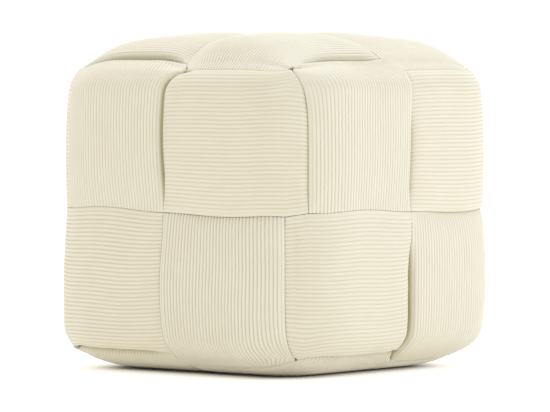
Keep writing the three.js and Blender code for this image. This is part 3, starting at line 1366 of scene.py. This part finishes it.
@dataclass(frozen=True)
class SoftBox:
    """A large square studio lamp."""

    name: str
    place: tuple[float, float, float]
    aim: tuple[float, float, float]
    size: float
    watts: float
    colour: str = "#ffffff"

    def build(self) -> bpy.types.Object:
        """Adds the lamp, pointed at its aim.

        Returns:
            The lamp.
        """
        data = bpy.data.lights.new(self.name, "AREA")
        data.shape = "SQUARE"
        data.size = self.size
        data.energy = self.watts
        data.color = linear(self.colour)[:3]
        lamp = bpy.data.objects.new(self.name, data)
        lamp.location = self.place
        away = Vector(self.aim) - Vector(self.place)
        lamp.rotation_euler = away.to_track_quat("-Z", "Y").to_euler()
        bpy.context.scene.collection.objects.link(lamp)
        return lamp


@dataclass(frozen=True)
class PaintedGlowFloor:
    """A sanded matt white sheet whose glowing is painted light: it is no lamp.

    The painted glow gives the eye a white ground with hardly a shadow, and lights the pouf's lowest
    rim from beneath.
    """

    name: str = "matt_floor_painted_glow"
    colour: str = "#f2f2f2"
    # The colour of the painted glow, which is no lamp.
    painted_glow_colour: str = "#f2f1ec"
    roughness: float = 1.0
    specular: float = 0.0

    def material(self) -> bpy.types.Material:
        """Builds the sheet's material.

        Returns:
            A material that glows with painted light, by the strength in the attribute glow.
        """
        material = bpy.data.materials.new(self.name)
        material.use_nodes = True
        tree = material.node_tree
        tree.nodes.clear()
        # Painted light: the emission follows the attribute glow.
        lit = add_node(tree, "ShaderNodeAttribute", {"attribute_name": "glow"}, {})
        sheet = add_node(
            tree,
            "ShaderNodeBsdfPrincipled",
            {
                "Base Color": linear(self.colour),
                "Roughness": self.roughness,
                "Specular IOR Level": self.specular,
                "Emission Color": linear(self.painted_glow_colour),
            },
            {"Emission Strength": lit.outputs["Fac"]},
        )
        add_node(tree, "ShaderNodeOutputMaterial", {}, {"Surface": sheet.outputs["BSDF"]})
        return material


@dataclass
class Studio:
    """A white floor, an even white surround, soft lamps and the camera, in metres."""

    floor_sheet: PaintedGlowFloor = PaintedGlowFloor()
    floor_reach: float = 30.0
    # The strength of the floor's painted glow round the pouf.
    floor_painted_glow: float = 0.41
    surround: float = 1.05
    surround_colour: str = "#fffefa"
    lamps: tuple[SoftBox, ...] = (
        SoftBox("key_softbox", (2.6, 1.7, 1.1), (0.0, 0.0, 0.2), 1.6, 30.0, "#d8e9ff"),
        SoftBox("top_softbox", (-0.7, 0.3, 2.5), (0.0, 0.0, 0.4), 1.2, 29.5, "#e8f0ff"),
    )

    # The floor's painted glow is left off where the pouf stands on it, which paints a shadow there.
    # That square is rounded, and the painted glow sets in between the two distances outside it.
    painted_shadow_half: float = 0.166
    painted_shadow_round: float = 0.055
    painted_shadow_fade: tuple[float, float] = (-0.02, 0.02)
    painted_shadow_centre: tuple[float, float, float] = (-0.007, -0.007, 0.0)

    # The camera was fitted to the photograph's outline and seams, in the photograph's pixels.
    camera_place: tuple[float, float, float] = (3.367, -4.120, 0.392)
    frame_pixels: int = 550
    focal_pixels: float = 4047.0
    horizon_drop_pixels: float = 137.3
    sensor_width: float = 36.0
    clip: tuple[float, float] = (0.1, 100.0)

    def build(self) -> None:
        """Builds the floor, the light and the camera."""
        self.build_floor()
        self.build_surround()
        for lamp in self.lamps:
            lamp.build()
        self.build_camera()

    def painted_shadow_outline(self, outside: float, steps: int = 64) -> np.ndarray:
        """Draws the rounded square on which the pouf stands, or a larger one round it.

        Args:
            outside: how far outside, in metres.
            steps: how many points.

        Returns:
            The points, anticlockwise.
        """
        turn = (np.arange(steps) + 0.5) * 2 * math.pi / steps
        ray = np.stack([np.cos(turn), np.sin(turn), np.zeros(steps)], axis=1)
        flat = self.painted_shadow_half - self.painted_shadow_round
        around = np.sign(ray) * (flat, flat, 0) + ray * (self.painted_shadow_round + outside)
        return self.painted_shadow_centre + around

    def build_floor(self) -> bpy.types.Object:
        """Lays the floor, whose painted glow stops beneath the pouf, which paints a shadow there.

        Returns:
            The floor, which isn't part of the object.
        """
        rings = [self.painted_shadow_outline(outside) for outside in (*self.painted_shadow_fade, self.floor_reach)]
        steps = len(rings[0])
        faces = [tuple(range(steps))]
        for start in (0, steps):
            for i in range(steps):
                following = (i + 1) % steps
                ends = (i, i + steps, following + steps, following)
                faces.append(tuple(start + end for end in ends))
        mesh = bpy.data.meshes.new("studio_floor")
        mesh.from_pydata(np.concatenate(rings).tolist(), [], faces)
        # Painted light and shadow: the floor glows round the pouf but not on the square beneath it.
        glow = mesh.attributes.new("glow", "FLOAT", "POINT")
        glow.data.foreach_set("value", np.repeat([0.0, self.floor_painted_glow, self.floor_painted_glow], steps))
        mesh.materials.append(self.floor_sheet.material())
        floor = bpy.data.objects.new("studio_floor", mesh)
        bpy.context.scene.collection.objects.link(floor)
        return floor

    def build_surround(self) -> None:
        """Lights the scene evenly from all sides with white."""
        world = bpy.data.worlds.new("white_surround")
        world.use_nodes = True
        background = world.node_tree.nodes["Background"]
        background.inputs["Color"].default_value = linear(self.surround_colour)
        background.inputs["Strength"].default_value = self.surround
        bpy.context.scene.world = world

    def build_camera(self) -> bpy.types.Object:
        """Places the camera and makes it the scene's own.

        Returns:
            The camera.
        """
        data = bpy.data.cameras.new("camera")
        data.sensor_width = self.sensor_width
        data.lens = self.focal_pixels / self.frame_pixels * self.sensor_width
        data.clip_start, data.clip_end = self.clip
        camera = bpy.data.objects.new("camera", data)
        camera.location = self.camera_place
        level = Vector((-self.camera_place[0], -self.camera_place[1], 0)).normalized()
        drop = self.horizon_drop_pixels / self.focal_pixels
        aim = level - Vector((0, 0, drop))
        camera.rotation_euler = aim.to_track_quat("-Z", "Y").to_euler()
        bpy.context.scene.collection.objects.link(camera)
        bpy.context.scene.camera = camera
        return camera


def main() -> None:
    logging.basicConfig(level=logging.INFO, format="%(name)s: %(message)s")
    LOG.info("nodes in the frame: %d", len(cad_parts))
    view = bpy.context.scene.view_settings
    view.view_transform = "Standard"
    view.look = "None"
    Pouf().build()
    Studio().build()


if __name__ == "__main__":
    main()
